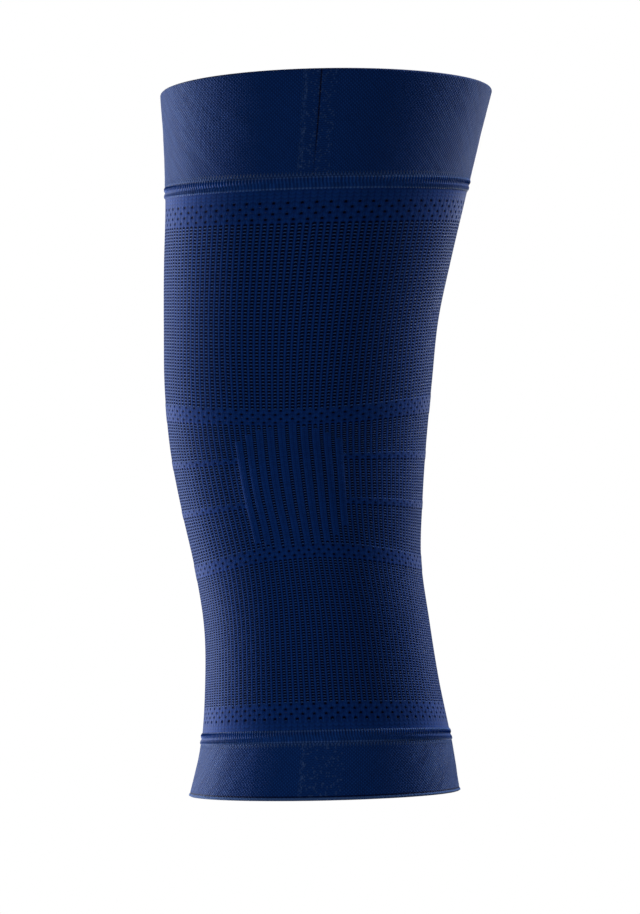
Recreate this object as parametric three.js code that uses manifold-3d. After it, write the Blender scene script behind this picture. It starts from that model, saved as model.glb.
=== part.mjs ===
// A compression knee sleeve in its worn shape: an open-knit tube between two dense cuffs,
// hollow from rim to rim. Millimetres. +Z runs up the leg and -Y is the front of the knee.
// The origin is the middle of the knee, inside the hollow.

import * as THREE from "three";
import { mergeVertices } from "three/addons/utils/BufferGeometryUtils.js";
import Module from "manifold-3d";

// Driving sizes of the whole sleeve
const SLEEVE_LENGTH = 318; // rim to rim, along the sides
const THIGH_WIDTH = 150; // side to side, at the top rim
const THIGH_DEPTH = 152; // front to back, at the top rim
const KNEE_HEIGHT = 140; // from the bottom rim up to the middle of the knee

// Cuffs and seams
const TOP_CUFF_HEIGHT = 41.5;
const BOTTOM_CUFF_HEIGHT = 23;
const CUFF_WALL = 2.2;
const CUFF_PROUD = 0.3; // the cuff's face stands out this far from the knit's
const SEAM_HEIGHT = 5;
const SEAM_WALL = 2;
const RIDGE_HEIGHT = 0.8; // the two ridges of a seam
const EDGE_BEAD = 0.35; // the cast-off edge of the bottom cuff stands proud by this
const EDGE_TALL = 1.3;
const PIECE_GAP = 0.3; // between neighbouring pieces

// The closed join of the top cuff's two ends
const JOIN_TURN = THREE.MathUtils.degToRad(-1.5);
const JOIN_WIDTH = 1.3;
const JOIN_DEPTH = 0.6;

// The knitted tube
const KNIT_WALL = 1.6;
const BAND_RELIEF = 0.35; // the dense bands are thicker than the open knit by this
const BAND_EDGE = 0.9; // over which a band falls to the open knit

// The patella and its ribbed panel
const PATELLA_RISE = 3;
const PATELLA_REACH = 30; // from the middle of the patella to where its rise has faded
const RIB_COUNT = 10;
const RIB_WIDTH = 3.4;
const RIB_HEIGHT = 0.9;
const RIB_ROOT = 0.7; // how deep a rib's root lies in the wall
const PANEL_ABOVE = 30.4; // the longest rib's upper end, over the middle of the knee
const PANEL_BELOW = 35.2; // and its lower end, under it
const PANEL_SPREAD = THREE.MathUtils.degToRad(44.7); // from the first rib to the last
const PANEL_TURN_TOP = THREE.MathUtils.degToRad(-4.6);
const PANEL_TURN_BOTTOM = THREE.MathUtils.degToRad(-2.1);
const CORNER_TOP = 8.7; // the outermost ribs start this much lower
const CORNER_LEFT = 4; // and end this much higher, on the inner side of the knee
const CORNER_RIGHT = 10; // and on its outer side

// How finely the faces are drawn
const TURN_STEPS = 48;
const ROW_STEP = 11;
const INNER_STEP = 24;
const RIB_STEPS = 9;

// The outline. at: share of the sleeve's length, from the bottom rim. half and shift: half width,
// and how far its middle lies to the right, as shares of the thigh's width. front and back: reach
// from the origin's axis, as shares of the thigh's depth.
const SECTIONS = [
  { at: 0.000, half: 0.408, shift: 0.074, front: 0.276, back: 0.487 },
  { at: 0.071, half: 0.379, shift: 0.079, front: 0.289, back: 0.470 },
  { at: 0.158, half: 0.353, shift: 0.066, front: 0.309, back: 0.431 },
  { at: 0.243, half: 0.339, shift: 0.050, front: 0.329, back: 0.382 },
  { at: 0.328, half: 0.340, shift: 0.024, front: 0.352, back: 0.342 },
  { at: 0.413, half: 0.362, shift: 0.006, front: 0.368, back: 0.329 },
  { at: 0.498, half: 0.385, shift: -0.005, front: 0.373, back: 0.336 },
  { at: 0.584, half: 0.402, shift: -0.005, front: 0.382, back: 0.362 },
  { at: 0.669, half: 0.413, shift: 0.003, front: 0.395, back: 0.401 },
  { at: 0.754, half: 0.432, shift: 0.022, front: 0.411, back: 0.444 },
  { at: 0.842, half: 0.452, shift: 0.046, front: 0.424, back: 0.480 },
  { at: 0.927, half: 0.475, shift: 0.065, front: 0.434, back: 0.520 },
  { at: 1.000, half: 0.500, shift: 0.079, front: 0.447, back: 0.553 },
];

// How the knitted courses lie round the leg, as shares of the sleeve's length. tilt: how much
// higher the front is than the sides. slope: the same for the right side. arch: rise of the front
// alone, where the knit is drawn over the knee.
const COURSES = [
  { at: 0.000, tilt: 0.0000, slope: 0.0043, arch: 0.0000 },
  { at: 0.081, tilt: 0.0095, slope: 0.0039, arch: 0.0000 },
  { at: 0.325, tilt: 0.0000, slope: 0.0071, arch: 0.0271 },
  { at: 0.406, tilt: 0.0000, slope: 0.0074, arch: 0.0136 },
  { at: 0.477, tilt: 0.0000, slope: 0.0079, arch: 0.0035 },
  { at: 0.551, tilt: 0.0000, slope: 0.0062, arch: -0.0137 },
  { at: 0.866, tilt: 0.0000, slope: 0.0057, arch: 0.0000 },
  { at: 1.000, tilt: 0.0183, slope: 0.0036, arch: 0.0000 },
];

// The dense bands. above: the band's middle over the middle of the knee, and tall: its height, as
// shares of the sleeve's length. parted: whether it stops at the patella panel.
const BANDS = [
  { above: 0.109, tall: 0.023, parted: false },
  { above: 0.035, tall: 0.009, parted: true },
  { above: -0.035, tall: 0.009, parted: true },
  { above: -0.117, tall: 0.019, parted: false },
];

// A seam's outer face. at: share of its height. rise: share of the ridge's height.
const SEAM_FACE = [
  { at: 0.00, rise: 0.2 },
  { at: 0.12, rise: 0.8 },
  { at: 0.25, rise: 1.0 },
  { at: 0.38, rise: 0.7 },
  { at: 0.50, rise: 0.3 },
  { at: 0.62, rise: 0.7 },
  { at: 0.75, rise: 1.0 },
  { at: 0.88, rise: 0.8 },
  { at: 1.00, rise: 0.2 },
];

const wasm = await Module();
wasm.setup();

// A smooth value of one column of a table, at a place along it.
function along(table, column, at) {
  const last = table.length - 1;
  const place = THREE.MathUtils.clamp(at, table[0].at, table[last].at);
  let k = 0;
  while (k < last - 1 && place > table[k + 1].at) k += 1;
  const steepness = (row) => {
    const before = table[Math.max(row - 1, 0)];
    const after = table[Math.min(row + 1, last)];
    return (after[column] - before[column]) / (after.at - before.at);
  };
  const span = table[k + 1].at - table[k].at;
  const t = (place - table[k].at) / span;
  const low = table[k][column];
  const high = table[k + 1][column];
  const curve = low * (1 + 2 * t) * (1 - t) ** 2 + high * t * t * (3 - 2 * t);
  const bend = steepness(k) * t * (1 - t) ** 2 - steepness(k + 1) * t * t * (1 - t);
  return curve + span * bend;
}

// The cross-section of the leg's form at a height over the bottom rim.
function sectionAt(height) {
  const at = height / SLEEVE_LENGTH;
  const front = THIGH_DEPTH * along(SECTIONS, "front", at);
  const back = THIGH_DEPTH * along(SECTIONS, "back", at);
  return {
    half: THIGH_WIDTH * along(SECTIONS, "half", at),
    shift: THIGH_WIDTH * along(SECTIONS, "shift", at),
    depth: (front + back) / 2,
    middle: (back - front) / 2,
  };
}

// How much the course at this height is raised at an angle from the front.
function courseRise(height, angle) {
  const at = height / SLEEVE_LENGTH;
  const ahead = Math.max(Math.cos(angle), 0);
  const tilt = along(COURSES, "tilt", at) * Math.cos(angle);
  const slope = along(COURSES, "slope", at) * Math.sin(angle);
  const arch = along(COURSES, "arch", at) * ahead * ahead;
  return SLEEVE_LENGTH * (tilt + slope + arch);
}

// The rise of the patella under the knit.
function patellaRise(height, angle, section) {
  if (Math.cos(angle) <= 0) return 0;
  const turn = (PANEL_TURN_TOP + PANEL_TURN_BOTTOM) / 2;
  const across = section.half * Math.sin(angle - turn);
  const up = height - KNEE_HEIGHT;
  const away = Math.min(Math.hypot(across, up) / PATELLA_REACH, 1);
  return PATELLA_RISE * (1 - away * away) ** 2;
}

// A point at a height over the bottom rim and an angle from the front, turning to the right, that
// stands out from the knit's outer face.
function skin(height, angle, out) {
  const s = sectionAt(height);
  const sine = Math.sin(angle);
  const cosine = Math.cos(angle);
  const normal = new THREE.Vector2(s.depth * sine, -s.half * cosine).normalize();
  const lift = out + patellaRise(height, angle, s);
  return new THREE.Vector3(
    s.shift + s.half * sine + normal.x * lift,
    s.middle - s.depth * cosine + normal.y * lift,
    height - KNEE_HEIGHT + courseRise(height, angle),
  );
}

// Length along the face for each radian of angle.
function arcPerRadian(height, angle) {
  const s = sectionAt(height);
  return Math.hypot(s.half * Math.cos(angle), s.depth * Math.sin(angle));
}

// The angles that a ring is drawn through, with any more that a detail needs.
function turns(more = []) {
  const even = Array.from({ length: TURN_STEPS }, (_, k) => (k / TURN_STEPS) * 2 * Math.PI);
  const full = more.map((angle) => (angle + 2 * Math.PI) % (2 * Math.PI));
  const nearDetail = (angle) => full.some((other) => Math.abs(other - angle) < 1e-3);
  return [...even.filter((angle) => !nearDetail(angle)), ...full].sort((a, b) => a - b);
}

// Even heights from one end to the other, no further apart than step.
function heightsBetween(low, high, step) {
  const count = Math.max(Math.ceil((high - low) / step), 1);
  return Array.from({ length: count + 1 }, (_, k) => low + ((high - low) * k) / count);
}

function geometryFrom(points, faces) {
  const geometry = new THREE.BufferGeometry();
  const positions = points.flatMap((point) => [point.x, point.y, point.z]);
  geometry.setAttribute("position", new THREE.Float32BufferAttribute(positions, 3));
  geometry.setIndex(faces.flat());
  return geometry;
}

// A closed ring round the leg. The profile goes up the outer face and down the inner one, and
// relief is added to its points by their share of it.
function ring(profile, angles, relief = () => 0) {
  const points = [];
  const faces = [];
  const rows = profile.length;
  for (const angle of angles) {
    for (const { height, out, share = 0 } of profile) {
      const added = share > 0 ? share * relief(height, angle) : 0;
      points.push(skin(height, angle, out + added));
    }
  }
  angles.forEach((_, i) => {
    const here = i * rows;
    const next = ((i + 1) % angles.length) * rows;
    for (let j = 0; j < rows; j += 1) {
      const up = (j + 1) % rows;
      faces.push([here + j, next + j, next + up], [here + j, next + up, here + up]);
    }
  });
  return geometryFrom(points, faces);
}

// The inner face, from the top down.
function innerFace(low, high, out) {
  return heightsBetween(low, high, INNER_STEP).reverse().map((height) => ({ height, out }));
}

// The groove where the top cuff's two ends meet.
function joinGroove(height, angle) {
  const turn = Math.atan2(Math.sin(angle - JOIN_TURN), Math.cos(angle - JOIN_TURN));
  const across = Math.abs(turn) * arcPerRadian(height, angle);
  return -JOIN_DEPTH * Math.max(1 - across / (JOIN_WIDTH / 2), 0);
}

// The cuff's doubled cloth turns over at the rim in a half round.
function topCuff() {
  const low = SLEEVE_LENGTH - TOP_CUFF_HEIGHT;
  const radius = CUFF_WALL / 2;
  const foldHeight = SLEEVE_LENGTH - radius;
  const foldSteps = 4;
  const outer = heightsBetween(low, foldHeight, ROW_STEP);
  const profile = outer.map((height) => ({ height, out: CUFF_PROUD, share: 1 }));
  for (let k = 1; k < foldSteps; k += 1) {
    const turn = (k / foldSteps) * Math.PI;
    profile.push({
      height: foldHeight + radius * Math.sin(turn),
      out: CUFF_PROUD - radius + radius * Math.cos(turn),
      share: (1 + Math.cos(turn)) / 2,
    });
  }
  profile.push(...innerFace(low, foldHeight, CUFF_PROUD - CUFF_WALL));
  const halfTurn = JOIN_WIDTH / 2 / arcPerRadian(SLEEVE_LENGTH, JOIN_TURN);
  const joinTurns = [JOIN_TURN - halfTurn, JOIN_TURN, JOIN_TURN + halfTurn];
  return ring(profile, turns(joinTurns), joinGroove);
}

// Two ridges round the leg, over the wall that joins a cuff to the knit.
function seam(low) {
  const outer = SEAM_FACE.map(({ at, rise }) => ({
    height: low + at * SEAM_HEIGHT,
    out: rise * RIDGE_HEIGHT,
  }));
  return ring([...outer, ...innerFace(low, low + SEAM_HEIGHT, -SEAM_WALL)], turns());
}

// The cast-off edge is a small bead along the bottom rim.
function bottomCuff() {
  const beadOut = CUFF_PROUD + EDGE_BEAD;
  const outer = heightsBetween(EDGE_TALL, BOTTOM_CUFF_HEIGHT, ROW_STEP);
  const profile = [
    { height: 0, out: CUFF_PROUD - EDGE_BEAD },
    { height: EDGE_TALL * 0.25, out: beadOut },
    { height: EDGE_TALL * 0.75, out: beadOut },
    ...outer.map((height) => ({ height, out: CUFF_PROUD })),
    ...innerFace(0, BOTTOM_CUFF_HEIGHT, CUFF_PROUD - CUFF_WALL),
  ];
  return ring(profile, turns());
}

// The bands in millimetres over the bottom rim, with the heights where each starts and ends.
function bandEdges({ above, tall, parted }) {
  const middle = KNEE_HEIGHT + above * SLEEVE_LENGTH;
  const reach = (tall * SLEEVE_LENGTH) / 2;
  return { low: middle - reach, high: middle + reach, parted };
}

// How thick the bands make the knit.
function bandRelief(height, angle) {
  const turn = (PANEL_TURN_TOP + PANEL_TURN_BOTTOM) / 2;
  const aside = Math.acos(Math.cos(angle - turn));
  const besidePanel = THREE.MathUtils.smoothstep(aside, PANEL_SPREAD * 0.5, PANEL_SPREAD * 0.7);
  const amounts = BANDS.map(bandEdges).map(({ low, high, parted }) => {
    const past = Math.max(low - height, height - high, 0);
    return Math.max(1 - past / BAND_EDGE, 0) * (parted ? besidePanel : 1);
  });
  return BAND_RELIEF * Math.max(...amounts);
}

// The rows of the knit's outer face: even ones, and both edges of every band.
function knitRows(low, high) {
  const edges = BANDS.map(bandEdges)
    .flatMap((band) => [band.low - BAND_EDGE, band.low, band.high, band.high + BAND_EDGE])
    .filter((height) => height > low + BAND_EDGE && height < high - BAND_EDGE);
  const clear = (height) => edges.every((edge) => Math.abs(edge - height) > ROW_STEP / 3);
  const even = heightsBetween(low, high, ROW_STEP);
  const kept = even.filter((height, k) => k === 0 || k === even.length - 1 || clear(height));
  return [...kept, ...edges].sort((a, b) => a - b);
}

function solidFrom(geometry) {
  const merged = mergeVertices(geometry, 1e-4);
  return new wasm.Manifold(
    new wasm.Mesh({
      numProp: 3,
      vertProperties: Float32Array.from(merged.attributes.position.array),
      triVerts: Uint32Array.from(merged.index.array),
    }),
  );
}

function geometryFromSolid(solid) {
  const mesh = solid.getMesh();
  const geometry = new THREE.BufferGeometry();
  geometry.setAttribute("position", new THREE.Float32BufferAttribute(mesh.vertProperties, 3));
  geometry.setIndex(Array.from(mesh.triVerts));
  return geometry;
}

// Where one rib of the patella panel runs. side goes from -1 at the first rib to 1 at the last.
function ribPath(side, t) {
  const corner = Math.abs(side) ** 3;
  const cornerBelow = side < 0 ? CORNER_LEFT : CORNER_RIGHT;
  const high = KNEE_HEIGHT + PANEL_ABOVE - CORNER_TOP * corner;
  const low = KNEE_HEIGHT - PANEL_BELOW + cornerBelow * corner;
  const height = THREE.MathUtils.lerp(low, high, t);
  const upPanel = (height - KNEE_HEIGHT + PANEL_BELOW) / (PANEL_ABOVE + PANEL_BELOW);
  const turn = THREE.MathUtils.lerp(PANEL_TURN_BOTTOM, PANEL_TURN_TOP, upPanel);
  return { height, angle: turn + (side * PANEL_SPREAD) / 2 };
}

// A rib is a low rounded bar along the knit, rooted in the wall, with falling ends.
function rib(side) {
  const across = [-0.5, -0.36, 0, 0.36, 0.5];
  const rise = [0, 0.75, 1, 0.75, 0];
  const points = [];
  const faces = [];
  for (let k = 0; k <= RIB_STEPS; k += 1) {
    const { height, angle } = ribPath(side, k / RIB_STEPS);
    const size = k === 0 || k === RIB_STEPS ? 0.45 : 1;
    across.forEach((share, j) => {
      const turn = (share * RIB_WIDTH * size) / arcPerRadian(height, angle);
      const out = rise[j] * (RIB_HEIGHT + RIB_ROOT) * size - RIB_ROOT;
      points.push(skin(height, angle + turn, out));
    });
  }
  const wide = across.length;
  for (let k = 0; k < RIB_STEPS; k += 1) {
    for (let j = 0; j < wide; j += 1) {
      const here = k * wide + j;
      const next = k * wide + ((j + 1) % wide);
      faces.push([here, next, next + wide], [here, next + wide, here + wide]);
    }
  }
  const top = RIB_STEPS * wide;
  for (let j = 1; j < wide - 1; j += 1) {
    faces.push([0, j + 1, j], [top, top + j, top + j + 1]);
  }
  return geometryFrom(points, faces);
}

// The tube and its patella ribs are knitted in one.
function knitTube(low, high) {
  const profile = [
    ...knitRows(low, high).map((height) => ({ height, out: 0, share: 1 })),
    ...innerFace(low, high, -KNIT_WALL),
  ];
  let solid = solidFrom(ring(profile, turns(), bandRelief));
  for (let k = 0; k < RIB_COUNT; k += 1) {
    const side = RIB_COUNT > 1 ? (2 * k) / (RIB_COUNT - 1) - 1 : 0;
    solid = solid.add(solidFrom(rib(side)));
  }
  return geometryFromSolid(solid);
}

function cloth(name, geometry, color, roughness) {
  const material = new THREE.MeshStandardMaterial({ color, roughness, metalness: 0 });
  geometry.computeVertexNormals();
  const mesh = new THREE.Mesh(geometry, material);
  mesh.name = name;
  return mesh;
}

// The pieces stand one over the other, from the bottom rim up.
const lowerSeamAt = BOTTOM_CUFF_HEIGHT + PIECE_GAP;
const knitFrom = lowerSeamAt + SEAM_HEIGHT + PIECE_GAP;
const upperSeamAt = SLEEVE_LENGTH - TOP_CUFF_HEIGHT - PIECE_GAP - SEAM_HEIGHT;
const knitTo = upperSeamAt - PIECE_GAP;

const sleeve = new THREE.Group();
sleeve.name = "knee_sleeve";
sleeve.add(
  cloth("top_cuff", topCuff(), 0x1c3a8c, 0.75),
  cloth("upper_seam", seam(upperSeamAt), 0x2a4aa0, 0.7),
  cloth("knit_tube", knitTube(knitFrom, knitTo), 0x142c74, 0.85),
  cloth("lower_seam", seam(lowerSeamAt), 0x2a4aa0, 0.7),
  cloth("bottom_cuff", bottomCuff(), 0x1c3a8c, 0.75),
);

export default sleeve;
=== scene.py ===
"""The looks of a knitted compression knee sleeve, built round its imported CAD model.

Sizes are in millimetres until a mesh is made, and the row frame is the CAD model's: +Z up the leg,
-Y the front of the knee, the origin in the middle of the knee.
"""

import math

import bpy
import numpy as np
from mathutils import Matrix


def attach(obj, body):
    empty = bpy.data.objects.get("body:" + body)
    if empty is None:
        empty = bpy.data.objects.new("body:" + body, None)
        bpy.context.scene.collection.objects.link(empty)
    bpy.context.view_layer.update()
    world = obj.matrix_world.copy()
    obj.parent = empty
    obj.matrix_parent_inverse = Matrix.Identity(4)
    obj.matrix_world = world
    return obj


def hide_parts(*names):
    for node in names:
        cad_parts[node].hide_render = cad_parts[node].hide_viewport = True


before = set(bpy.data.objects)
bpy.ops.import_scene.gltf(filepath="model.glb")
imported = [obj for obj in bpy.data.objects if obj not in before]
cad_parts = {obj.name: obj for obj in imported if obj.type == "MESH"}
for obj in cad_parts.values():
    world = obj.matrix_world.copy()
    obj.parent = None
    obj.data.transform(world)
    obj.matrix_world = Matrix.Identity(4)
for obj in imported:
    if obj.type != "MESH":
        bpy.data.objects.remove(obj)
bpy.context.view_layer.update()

MM = 0.001
TURN = 2 * math.pi

# The sleeve's sizes, as in the CAD model
SLEEVE_LENGTH = 318
THIGH_WIDTH = 150
THIGH_DEPTH = 152
KNEE_HEIGHT = 140
TOP_CUFF_HEIGHT = 41.5
BOTTOM_CUFF_HEIGHT = 23
CUFF_WALL = 2.2
CUFF_PROUD = 0.3
SEAM_HEIGHT = 5
SEAM_WALL = 2
RIDGE_HEIGHT = 0.8
EDGE_BEAD = 0.35
EDGE_TALL = 1.3
PIECE_GAP = 0.3
JOIN_TURN = math.radians(-1.5)
JOIN_WIDTH = 1.3
JOIN_DEPTH = 0.6
KNIT_WALL = 1.6
BAND_RELIEF = 0.15
BAND_EDGE = 0.9
PATELLA_RISE = 3
PATELLA_REACH = 30
RIB_COUNT = 10
RIB_HEIGHT = 0.45
PANEL_ABOVE = 30.4
PANEL_BELOW = 35.2
PANEL_SPREAD = math.radians(44.7)
PANEL_TURN_TOP = math.radians(-4.6)
PANEL_TURN_BOTTOM = math.radians(-2.1)
CORNER_TOP = 8.7
CORNER_LEFT = 4
CORNER_RIGHT = 10

# The leg's sections, from the bottom rim up. at: share of the sleeve's length. half: half the section's
# width, and shift: how far its middle lies to the right, as shares of the thigh's width.
# front, back: how far it reaches from the middle, as shares of the thigh's depth.
SECTIONS = {
    "at": (0, 0.071, 0.158, 0.243, 0.328, 0.413, 0.498, 0.584, 0.669, 0.754, 0.842, 0.927, 1),
    "half": (0.408, 0.379, 0.353, 0.339, 0.340, 0.362, 0.385, 0.402, 0.413, 0.432, 0.452, 0.475, 0.5),
    "shift": (0.074, 0.079, 0.066, 0.05, 0.024, 0.006, -0.005, -0.005, 0.003, 0.022, 0.046, 0.065, 0.079),
    "front": (0.276, 0.289, 0.309, 0.329, 0.352, 0.368, 0.373, 0.382, 0.395, 0.411, 0.424, 0.434, 0.447),
    "back": (0.487, 0.470, 0.431, 0.382, 0.342, 0.329, 0.336, 0.362, 0.401, 0.444, 0.480, 0.520, 0.553),
}

# How a course of the knit rises round the leg, as shares of the sleeve's length: towards the front (tilt),
# towards the right (slope), and in an arch over the front.
COURSES = {
    "at": (0, 0.081, 0.325, 0.406, 0.477, 0.551, 0.866, 1),
    "tilt": (0, 0.0095, 0, 0, 0, 0, 0, 0.0183),
    "slope": (0.0043, 0.0039, 0.0071, 0.0074, 0.0079, 0.0062, 0.0057, 0.0036),
    "arch": (0, 0, 0.0271, 0.0136, 0.0035, -0.0137, 0, 0),
}

# The dense bands: middle over the knee's middle, and height.
BANDS = [
    {"above": 34.662, "tall": 7.314, "parted": False},
    {"above": 11.13, "tall": 2.862, "parted": True},
    {"above": -11.13, "tall": 2.862, "parted": True},
    {"above": -37.206, "tall": 6.042, "parted": False},
]

# A seam's two ridges. Each point: share of the seam's height, share of a ridge's height.
SEAM_FACE = [
    (0, 0.2), (0.06, 0.5), (0.12, 0.8), (0.18, 0.95), (0.25, 1), (0.32, 0.9), (0.38, 0.7), (0.44, 0.42),
    (0.5, 0.3), (0.56, 0.42), (0.62, 0.7), (0.68, 0.9), (0.75, 1), (0.82, 0.95), (0.88, 0.8), (0.94, 0.5),
    (1, 0.2),
]

# The knit's columns of holes, and the lines of stitches between its zones
COLUMNS = 132
PANEL_COLUMN = 66  # runs up the middle of the ribbed panel
ACROSS = 3  # samples for each column
UP = 3  # samples for each line
PULL = 0.106  # the panel's columns are drawn together by this share
PULL_SPAN = math.radians(38)  # to each side of the panel's middle
PULL_REACH = 60  # over and under the knee's middle
ZONES = [  # low and high: over the bottom rim. kind: plain, dots in staggered lines, or open mesh
    {"piece": "shin_knit", "low": 28.6, "high": 31.8, "lines": 2, "kind": "plain"},
    {"piece": "shin_knit", "low": 31.8, "high": 33.9, "lines": 1, "kind": "eyelets"},
    {"piece": "shin_knit", "low": 33.9, "high": 39.9, "lines": 3, "kind": "dots"},
    {"piece": "shin_knit", "low": 39.9, "high": 99.77, "lines": 54, "kind": "mesh"},
    {"piece": "knee_knit", "low": 99.77, "high": 105.82, "lines": 3, "kind": "dots"},
    {"piece": "knee_knit", "low": 105.82, "high": 127.44, "lines": 16, "kind": "mesh"},
    {"piece": "knee_knit", "low": 127.44, "high": 130.3, "lines": 2, "kind": "parted"},
    {"piece": "knee_knit", "low": 130.3, "high": 149.7, "lines": 15, "kind": "mesh"},
    {"piece": "knee_knit", "low": 149.7, "high": 152.56, "lines": 2, "kind": "parted"},
    {"piece": "knee_knit", "low": 152.56, "high": 171, "lines": 14, "kind": "mesh"},
    {"piece": "knee_knit", "low": 171, "high": 178.32, "lines": 4, "kind": "dots"},
    {"piece": "thigh_knit", "low": 178.32, "high": 257.4, "lines": 57, "kind": "mesh"},
    {"piece": "thigh_knit", "low": 257.4, "high": 266.4, "lines": 4, "kind": "dots"},
    {"piece": "thigh_knit", "low": 266.4, "high": 270.9, "lines": 3, "kind": "plain"},
]
HOLE_DEPTH = 0.95
BRIDGE_DEPTH = 0.04  # of the cloth between two holes of a column
PIT_SHARE = (0, 0, 1)  # of a hole's depth, at each sample up a line
PIT_AT = (0, 0.34, 0.68)  # of a line's height, for each sample
DOT_OPEN = 0.4  # of a hole's depth
WALE_PROUD = 0.1  # how far the upright lines between the holes stand out
HOLE_SHADE = 0.12  # of the relief, for the normals: the cloth is shaded almost as if it had no holes
COLUMN_SWAY = 0.015  # of a column, how unevenly the columns run
COLUMN_SLIP = 0.04  # of a line's height, how far each column is moved up or down
LINE_HEIGHT = 1.4
SWAY_ROWS = 12  # vertex rows from one random draw of the columns' sway to the next
FREE_ROWS = 9  # over these the sway grows from nothing at the knit's ends
RIB_CROWN = ((0, 1 / 3, 2 / 3, 0.98), (1, 1, 0.5, 0))  # columns from its middle, share of its height
RIB_END = (0.7, 1.2)  # a rib fades out over these, outside and inside its reach
KNIT_INSIDE_STEP = 9

# How finely the cuffs and the seams are drawn
CUFF_ACROSS = 6  # samples for each column of the knit
CUFF_STEP = 0.7
CUFF_INSIDE_STEP = 5
FOLD_STEPS = 9
FOLD_TAKES = 0.4  # the inner face starts this far after the fold, in the weave
RIPPLE = 0.05  # the cuffs aren't quite even
RIPPLE_ROWS = 6
RIPPLE_COLUMNS = 12
SEAM_STITCHES = 2  # for each column of the knit
SEAM_ACROSS = 4  # samples for each stitch
SEAM_LINES = 8  # from the seam's lower end to its upper one, in its weave
SEAM_LEAN = 0.5  # of a stitch, how far the teeth of a ridge lean
SEAM_NOTCH = 0.45  # of a ridge's height, between its teeth
TOP_PATCH = (-6.8, 4)  # degrees from the front, of a cuff's stippled patch
BOTTOM_PATCH = (-10.4, 7.7)

dice = np.random.default_rng(7)


def along(table, column, at):
    """A column of a table at a share of the length: a smooth curve through its rows."""
    x = np.array(table["at"], float)
    y = np.array(table[column], float)
    steep = np.empty_like(y)
    steep[1:-1] = (y[2:] - y[:-2]) / (x[2:] - x[:-2])
    steep[0] = (y[1] - y[0]) / (x[1] - x[0])
    steep[-1] = (y[-1] - y[-2]) / (x[-1] - x[-2])
    at = np.clip(at, x[0], x[-1])
    k = np.clip(np.searchsorted(x, at) - 1, 0, len(x) - 2)
    span = x[k + 1] - x[k]
    t = (at - x[k]) / span
    curve = y[k] * (1 + 2 * t) * (1 - t) ** 2 + y[k + 1] * t * t * (3 - 2 * t)
    return curve + span * (steep[k] * t * (1 - t) ** 2 - steep[k + 1] * t * t * (1 - t))


def smoothstep(low, high, x):
    t = np.clip((x - low) / (high - low), 0, 1)
    return t * t * (3 - 2 * t)


def section(height):
    """Half width, sideways shift, half depth and middle of the leg's section at a height."""
    at = np.asarray(height, float) / SLEEVE_LENGTH
    front = THIGH_DEPTH * along(SECTIONS, "front", at)
    back = THIGH_DEPTH * along(SECTIONS, "back", at)
    half = THIGH_WIDTH * along(SECTIONS, "half", at)
    shift = THIGH_WIDTH * along(SECTIONS, "shift", at)
    return half, shift, (front + back) / 2, (back - front) / 2


def skin(height, angle, out):
    """Points over the knit's outer face, at a height over the bottom rim and an angle from the front."""
    height, angle, out = np.broadcast_arrays(height, angle, out)
    half, shift, depth, middle = section(height)
    sine, cosine = np.sin(angle), np.cos(angle)
    at = height / SLEEVE_LENGTH
    course = along(COURSES, "tilt", at) * cosine + along(COURSES, "slope", at) * sine
    course = course + along(COURSES, "arch", at) * np.maximum(cosine, 0) ** 2
    turn = (PANEL_TURN_TOP + PANEL_TURN_BOTTOM) / 2
    away = np.minimum(np.hypot(half * np.sin(angle - turn), height - KNEE_HEIGHT) / PATELLA_REACH, 1)
    rise = np.where(cosine > 0, PATELLA_RISE * (1 - away**2) ** 2, 0)
    normal_x, normal_y = depth * sine, -half * cosine
    size = np.hypot(normal_x, normal_y)
    lift = (out + rise) / size
    x = shift + half * sine + normal_x * lift
    y = middle - depth * cosine + normal_y * lift
    return np.stack([x, y, height - KNEE_HEIGHT + SLEEVE_LENGTH * course], -1)


def arc_per_radian(height, angle):
    half, _, depth, _ = section(height)
    return np.hypot(half * np.cos(angle), depth * np.sin(angle))


def panel_turn(height):
    up = np.clip((height - KNEE_HEIGHT + PANEL_BELOW) / (PANEL_ABOVE + PANEL_BELOW), 0, 1)
    return PANEL_TURN_BOTTOM + (PANEL_TURN_TOP - PANEL_TURN_BOTTOM) * up


def column_angle(column, height):
    """Where a column of the knit runs: the panel draws those near it together."""
    aside = (column - PANEL_COLUMN) * TURN / COLUMNS
    drawn = np.exp(-((aside / PULL_SPAN) ** 4) - ((height - KNEE_HEIGHT) / PULL_REACH) ** 4)
    return panel_turn(height) + aside * (1 - PULL * drawn)


def band_relief(height, angle):
    turn = (PANEL_TURN_TOP + PANEL_TURN_BOTTOM) / 2
    aside = np.arccos(np.clip(np.cos(angle - turn), -1, 1))
    beside = smoothstep(PANEL_SPREAD * 0.5, PANEL_SPREAD * 0.7, aside)
    most = 0
    for band in BANDS:
        past = np.abs(height - KNEE_HEIGHT - band["above"]) - band["tall"] / 2
        amount = np.clip(1 - np.maximum(past, 0) / BAND_EDGE, 0, 1)
        most = np.maximum(most, amount * (beside if band["parted"] else 1))
    return BAND_RELIEF * most


def grid_normals(points):
    """Smooth outward normals of a grid of points [row, column, xyz] that closes round its columns."""
    round_leg = np.roll(points, -1, 1) - np.roll(points, 1, 1)
    up_leg = np.gradient(points, axis=0)
    normal = np.cross(round_leg, up_leg)
    return normal / np.maximum(np.linalg.norm(normal, axis=-1, keepdims=True), 1e-12)


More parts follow.
